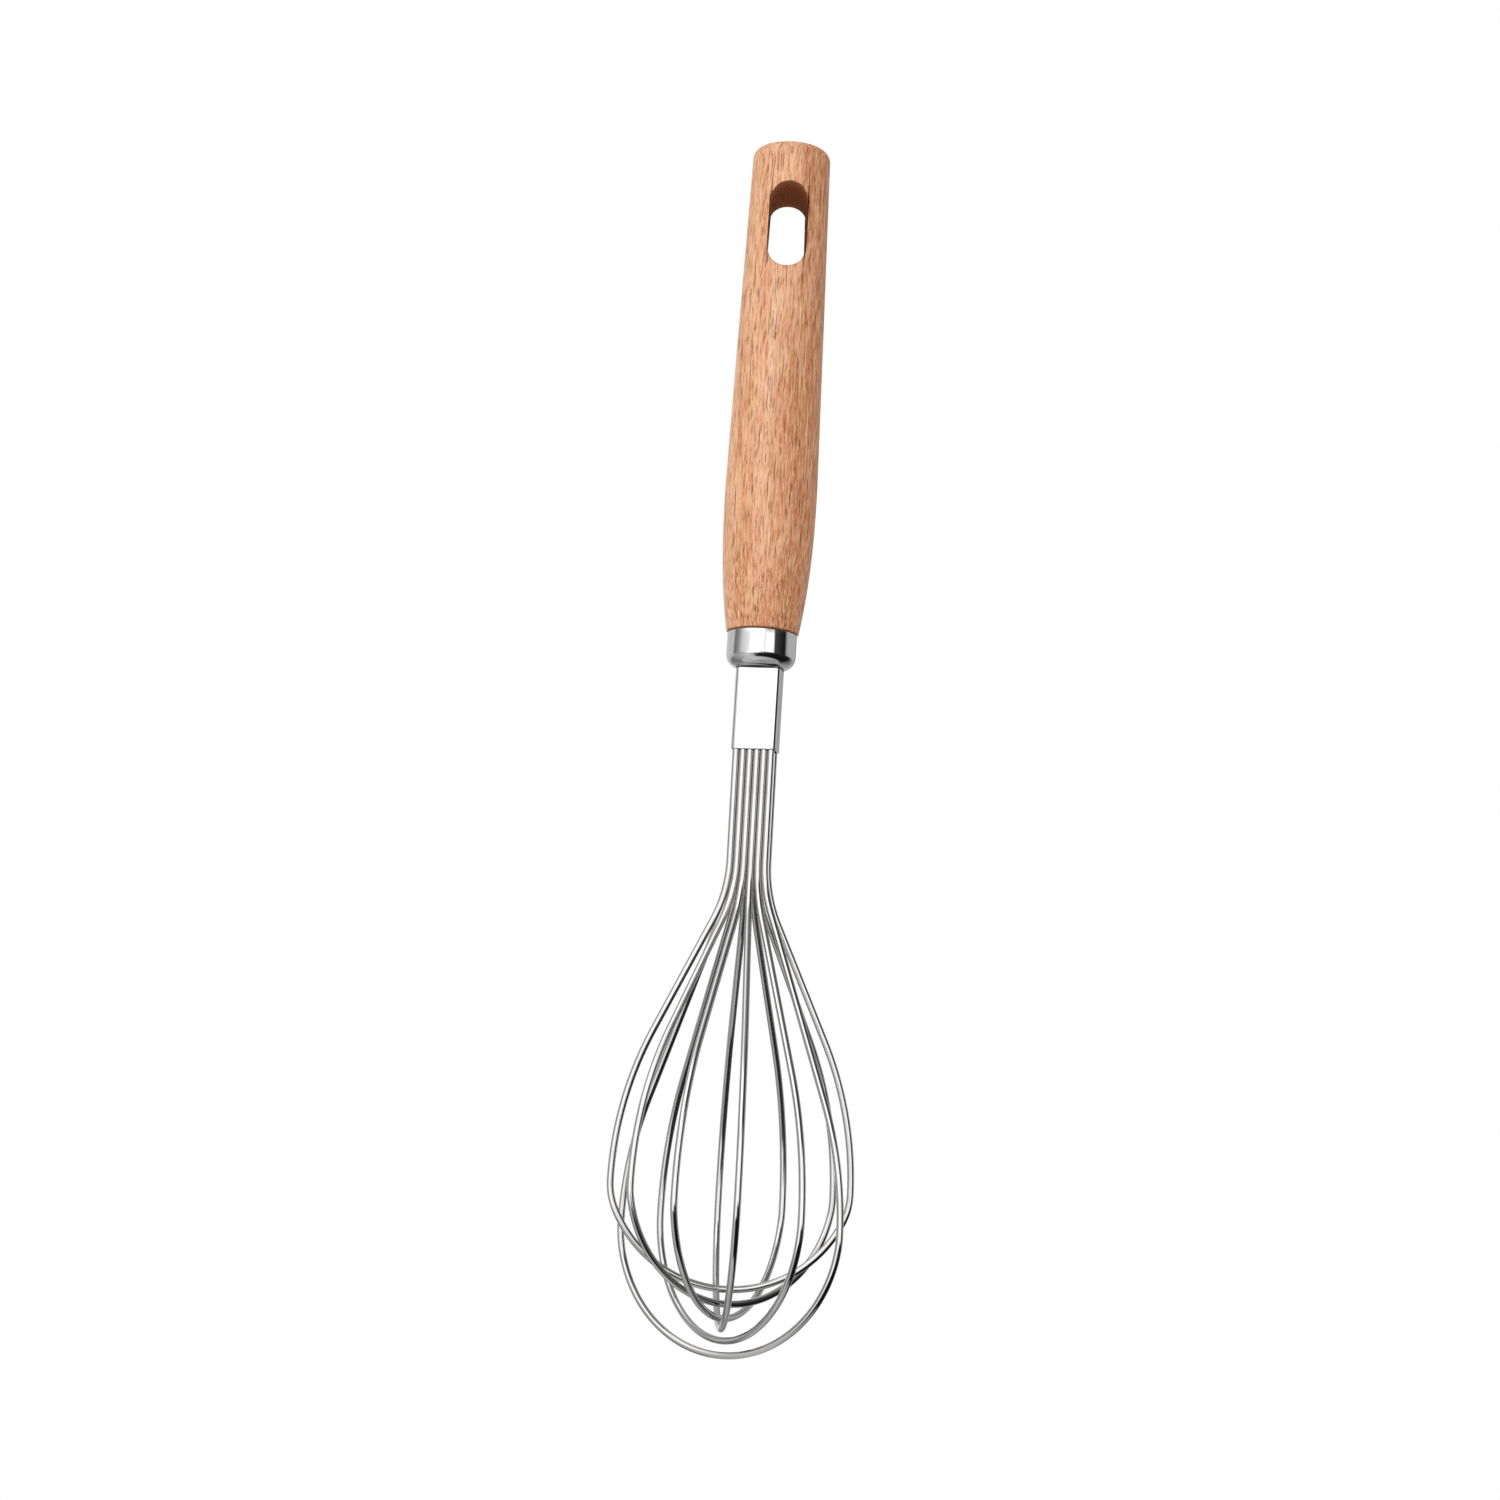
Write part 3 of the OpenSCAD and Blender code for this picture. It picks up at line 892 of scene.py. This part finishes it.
def amber_resin():
    """The resin that fills the socket, with small bubbles."""
    material = bpy.data.materials.new("amber_resin")
    material.use_nodes = True
    nodes = material.node_tree.nodes
    links = material.node_tree.links
    nodes.clear()

    place = nodes.new("ShaderNodeTexCoord")
    place.label = "Place in the resin"
    place.location = (-900, 0)
    bubble_frame = nodes.new("NodeFrame")
    bubble_frame.label = "Small bubbles"
    bubbles = nodes.new("ShaderNodeTexVoronoi")
    bubbles.label = "Bubbles"
    bubbles.location = (-700, 0)
    bubbles.parent = bubble_frame
    bubbles.inputs["Scale"].default_value = 900
    tone = nodes.new("ShaderNodeValToRGB")
    tone.label = "Amber, paler round bubbles"
    tone.location = (-500, 0)
    tone.parent = bubble_frame
    tone.color_ramp.elements[0].color = (0.75, 0.6, 0.3, 1)
    tone.color_ramp.elements[1].position = 0.4
    tone.color_ramp.elements[1].color = (0.55, 0.36, 0.12, 1)
    resin = nodes.new("ShaderNodeBsdfPrincipled")
    resin.label = "Resin"
    resin.location = (-200, 0)
    resin.inputs["Roughness"].default_value = 0.25
    output = nodes.new("ShaderNodeOutputMaterial")
    output.label = "Resin surface"
    output.location = (100, 0)
    links.new(place.outputs["Object"], bubbles.inputs["Vector"])
    links.new(bubbles.outputs["Distance"], tone.inputs["Fac"])
    links.new(tone.outputs["Color"], resin.inputs["Base Color"])
    links.new(resin.outputs["BSDF"], output.inputs["Surface"])
    return material


def studio_white():
    """Matt white floor."""
    material = bpy.data.materials.new("studio_white")
    material.use_nodes = True
    nodes = material.node_tree.nodes
    links = material.node_tree.links
    nodes.clear()
    paint = nodes.new("ShaderNodeBsdfPrincipled")
    paint.label = "Matt white"
    paint.inputs["Base Color"].default_value = (0.9, 0.9, 0.9, 1)
    paint.inputs["Roughness"].default_value = 0.8
    paint.inputs["Emission Color"].default_value = (1, 1, 1, 1)
    paint.inputs["Emission Strength"].default_value = 0.45
    output = nodes.new("ShaderNodeOutputMaterial")
    output.label = "Floor surface"
    output.location = (300, 0)
    links.new(paint.outputs["BSDF"], output.inputs["Surface"])
    return material


# ---- studio ----

# What the polished metal sees round the whisk, in rings from below to above. Each ring has the sine of
# the height where it starts and where it has taken over from the ring below, and then its panels:
# degrees from the camera's side round towards the right, and brightness as a share of the brightest.
PANEL_LIGHT = 2.4
STUDIO_RINGS = [
    ("Floor", -1, -1, [
        (-180, 0.29), (-90, 0.31), (-40, 0.37), (0, 0.31), (60, 0.23), (110, 0.19), (180, 0.27),
    ]),
    ("Table", -0.82, -0.76, [
        (-180, 0.19), (-130, 0.1), (-108, 0.18), (-88, 0.23), (-50, 0.37), (-30, 0.29), (-20, 0.055),
        (-8, 0.011), (20, 0.005), (110, 0.005), (130, 0.087), (150, 0.18), (180, 0.21),
    ]),
    ("Low panels", -0.34, -0.27, [
        (-180, 0.29), (-108, 0.29), (-96, 0.16), (-74, 0.25), (-56, 0.39), (-44, 0.77), (-12, 0.89),
        (-4, 0.35), (12, 0.087), (30, 0.018), (60, 0.011), (112, 0.011), (126, 0.1), (150, 0.23), (180, 0.29),
    ]),
    ("Panels at the camera's height", -0.16, -0.06, [
        (-180, 0.33), (-110, 0.35), (-104, 0.25), (-100, 0.1), (-90, 0.14), (-81, 0.2), (-73, 0.32),
        (-65, 0.43), (-47, 0.53), (-40, 0.66), (-33, 0.83), (-26, 0.94), (-16, 1), (-3, 0.82), (7, 0.77),
        (10, 0.47), (14, 0.82), (33, 0.8), (36, 0.94), (42, 0.45), (44, 0.039), (62, 0.018), (80, 0.006),
        (86, 0.018), (91, 0.19), (102, 0.27), (140, 0.27), (155, 0.18), (180, 0.19),
    ]),
    ("Upper panels", 0.33, 0.42, [
        (-180, 0.23), (-120, 0.22), (-100, 0.25), (-72, 0.35), (-64, 0.66), (-55, 0.94), (-20, 1),
        (8, 0.89), (14, 0.16), (26, 0.047), (78, 0.032), (95, 0.087), (130, 0.16), (180, 0.23),
    ]),
    ("Ceiling", 0.66, 0.74, [
        (-180, 0.27), (-110, 0.35), (-85, 0.61), (-60, 0.77), (-34, 0.66), (-20, 0.31), (12, 0.18),
        (50, 0.13), (75, 0.087), (100, 0.18), (180, 0.27),
    ]),
]

# the soft light that matt surfaces get from the camera's side and from behind the whisk
SOFT_FRONT = 0.84
SOFT_BEHIND = 0.26


def make_world():
    """A white backdrop behind the whisk, a soft light, and panels that only the gloss shows."""
    world = bpy.data.worlds.new("studio")
    bpy.context.scene.world = world
    world.use_nodes = True
    nodes = world.node_tree.nodes
    links = world.node_tree.links
    nodes.clear()

    direction = nodes.new("ShaderNodeTexCoord")
    direction.label = "Direction in the studio"
    direction.location = (-1400, 0)
    parts = nodes.new("ShaderNodeSeparateXYZ")
    parts.label = "Right, back and up"
    parts.location = (-1200, 0)

    bearing_frame = nodes.new("NodeFrame")
    bearing_frame.label = "Bearing"
    front = nodes.new("ShaderNodeMath")
    front.label = "Towards the camera"
    front.location = (-1000, 100)
    front.parent = bearing_frame
    front.operation = "MULTIPLY"
    front.inputs[1].default_value = -1
    bearing = nodes.new("ShaderNodeMath")
    bearing.label = "Bearing from the camera's side"
    bearing.location = (-800, 100)
    bearing.parent = bearing_frame
    bearing.operation = "ARCTAN2"
    share = nodes.new("ShaderNodeMapRange")
    share.label = "Bearing from 0 to 1"
    share.location = (-600, 100)
    share.parent = bearing_frame
    share.inputs["From Min"].default_value = -pi
    share.inputs["From Max"].default_value = pi
    links.new(direction.outputs["Generated"], parts.inputs["Vector"])
    links.new(parts.outputs["Y"], front.inputs[0])
    links.new(parts.outputs["X"], bearing.inputs[0])
    links.new(front.outputs["Value"], bearing.inputs[1])
    links.new(bearing.outputs["Value"], share.inputs["Value"])

    below = None
    for step, (ring_name, start, full, panels) in enumerate(STUDIO_RINGS):
        low = 300 * step
        ring_frame = nodes.new("NodeFrame")
        ring_frame.label = ring_name
        ring = nodes.new("ShaderNodeValToRGB")
        ring.label = "Panels and the gaps between them"
        ring.location = (-300, low)
        ring.parent = ring_frame
        stops = ring.color_ramp.elements
        while len(stops) < len(panels):
            stops.new(0.5)
        for stop, panel in zip(stops, panels):
            stop.position = (panel[0] + 180) / 360
        for stop, panel in zip(stops, panels):
            stop.color = (panel[1], panel[1], panel[1], 1)
        links.new(share.outputs["Result"], ring.inputs["Fac"])
        if below is None:
            below = ring.outputs["Color"]
            continue
        height = nodes.new("ShaderNodeMapRange")
        height.label = "Height where it takes over"
        height.location = (-300, low - 150)
        height.parent = ring_frame
        height.inputs["From Min"].default_value = start
        height.inputs["From Max"].default_value = full
        over = nodes.new("ShaderNodeMix")
        over.label = "Over the ring below"
        over.location = (0, low)
        over.parent = ring_frame
        over.data_type = "RGBA"
        links.new(parts.outputs["Z"], height.inputs["Value"])
        links.new(height.outputs["Result"], over.inputs["Factor"])
        links.new(below, over.inputs["A"])
        links.new(ring.outputs["Color"], over.inputs["B"])
        below = over.outputs["Result"]

    panel_glow = nodes.new("ShaderNodeBackground")
    panel_glow.label = "Panels in the gloss"
    panel_glow.location = (450, 0)
    panel_glow.inputs["Strength"].default_value = PANEL_LIGHT
    fill = nodes.new("ShaderNodeMapRange")
    fill.label = "Dimmer behind the whisk"
    fill.location = (200, -150)
    fill.inputs["From Min"].default_value = -1
    fill.inputs["To Min"].default_value = SOFT_BEHIND
    fill.inputs["To Max"].default_value = SOFT_FRONT
    soft = nodes.new("ShaderNodeBackground")
    soft.label = "Soft light"
    soft.location = (450, -150)
    soft.inputs["Color"].default_value = (1, 0.985, 0.97, 1)
    backdrop = nodes.new("ShaderNodeBackground")
    backdrop.label = "White backdrop"
    backdrop.location = (450, -300)
    backdrop.inputs["Color"].default_value = (1, 1, 1, 1)
    ray = nodes.new("ShaderNodeLightPath")
    ray.label = "How the studio is seen"
    ray.location = (450, 400)
    by_gloss = nodes.new("ShaderNodeMixShader")
    by_gloss.label = "Panels in gloss, soft light on matt"
    by_gloss.location = (700, 0)
    by_eye = nodes.new("ShaderNodeMixShader")
    by_eye.label = "Backdrop where seen directly"
    by_eye.location = (900, 0)
    output = nodes.new("ShaderNodeOutputWorld")
    output.label = "Studio"
    output.location = (1100, 0)
    links.new(below, panel_glow.inputs["Color"])
    links.new(front.outputs["Value"], fill.inputs["Value"])
    links.new(fill.outputs["Result"], soft.inputs["Strength"])
    links.new(ray.outputs["Is Diffuse Ray"], by_gloss.inputs["Fac"])
    links.new(panel_glow.outputs["Background"], by_gloss.inputs[1])
    links.new(soft.outputs["Background"], by_gloss.inputs[2])
    links.new(ray.outputs["Is Camera Ray"], by_eye.inputs["Fac"])
    links.new(by_gloss.outputs["Shader"], by_eye.inputs[1])
    links.new(backdrop.outputs["Background"], by_eye.inputs[2])
    links.new(by_eye.outputs["Shader"], output.inputs["Surface"])


FLOOR_DROP = 0.3
FLOOR_HALF = 2.5


def make_floor():
    """A plain pale floor well below the hanging whisk."""
    z = cad_low.z - FLOOR_DROP
    corners = [(-1, -1), (1, -1), (1, 1), (-1, 1)]
    floor = add_piece("floor", [(x * FLOOR_HALF, y * FLOOR_HALF, z) for x, y in corners], [], [(0, 1, 2, 3)])
    floor.data.materials.append(studio_white())
    floor.visible_diffuse = False
    floor.visible_glossy = False


KEY_PLACE = Vector((-0.9, -0.7, 0.5))
KEY_AIM = Vector((0, 0, -0.1))
KEY_SIZE = 0.9
KEY_POWER = 5.3


def make_key_light():
    """A large soft lamp above and to the left of the camera."""
    lamp = bpy.data.lights.new("key_light", "AREA")
    lamp.shape = "DISK"
    lamp.size = KEY_SIZE
    lamp.energy = KEY_POWER
    key = bpy.data.objects.new("key_light", lamp)
    key.location = KEY_PLACE
    aim = KEY_AIM - KEY_PLACE
    key.rotation_mode = "QUATERNION"
    key.rotation_quaternion = aim.to_track_quat("-Z", "Y")
    key.visible_glossy = False
    bpy.context.scene.collection.objects.link(key)


# the camera looks a little upwards and leans, and the sleeve's mouth sits near the middle of its view
VIEW_DISTANCE = 0.6974
VIEW_RISE = radians(9.5)
VIEW_ROLL = radians(3.58)
MOUTH_RIGHT = 1.14 * MM
MOUTH_DOWN = 0.32 * MM
LENS = 73.34
SENSOR = 36


def make_camera():
    """The camera, with its own right, up and ahead worked out from the rise and the roll."""
    lens = bpy.data.cameras.new("camera")
    lens.lens = LENS
    lens.sensor_width = SENSOR
    ahead = Vector((0, cos(VIEW_RISE), sin(VIEW_RISE)))
    level_right = Vector((1, 0, 0))
    level_up = level_right.cross(ahead)
    right = cos(VIEW_ROLL) * level_right + sin(VIEW_ROLL) * level_up
    up = cos(VIEW_ROLL) * level_up - sin(VIEW_ROLL) * level_right
    mouth = Vector((0, 0, MOUTH_Z))
    camera = bpy.data.objects.new("camera", lens)
    camera.location = mouth - VIEW_DISTANCE * ahead - MOUTH_RIGHT * right + MOUTH_DOWN * up
    camera.rotation_mode = "QUATERNION"
    camera.rotation_quaternion = Matrix((right, up, -ahead)).transposed().to_quaternion()
    bpy.context.scene.collection.objects.link(camera)
    bpy.context.scene.camera = camera
    bpy.context.scene.view_settings.view_transform = "Standard"


# ---- the whisk ----

make_camera()
make_world()
make_floor()
make_key_light()

make_handle(
    beech("lacquered_beech", (1, 1, 1), 0.45, 1),
    # the slot's wall is darker partly as rough unlacquered end grain and partly as painted shade of the
    # recess
    beech("slot_wall", (0.58, 0.42, 0.36), 0.8, 0.1),
    # near black: painted shade in the gap under the foot
    beech("gap_shade_beech", (0.03, 0.03, 0.03), 0.6, 0)
)
make_cap(bright_steel("cap_steel", (0.6, 0.6, 0.6), 0.015, (60, 60, 4000), 0.002 * MM))
make_sleeve(
    bright_steel("sleeve_steel", (0.62, 0.62, 0.62), 0.05, (3000, 3000, 40), 0.002 * MM),
    # near-black steel for the painted shade under the cap
    bright_steel("painted_cap_shade", (0.1, 0.09, 0.09), 0.4, (3000, 3000, 3000), 0.005 * MM)
)
wire_steel = bright_steel(
    "wire_steel", (0.5, 0.493, 0.49), 0.015, (2500, 2500, 2500), 0.00005 * MM
)
for loop in range(LOOPS):
    make_wire_loop(loop, wire_steel)

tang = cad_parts["tang"]
tang.data.materials.clear()
tang.data.materials.append(bright_steel("tang_steel", (0.6, 0.6, 0.6), 0.35, (2500, 2500, 60), 0.01 * MM))
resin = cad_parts["tang_glue"]
resin.data.materials.clear()
resin.data.materials.append(amber_resin())
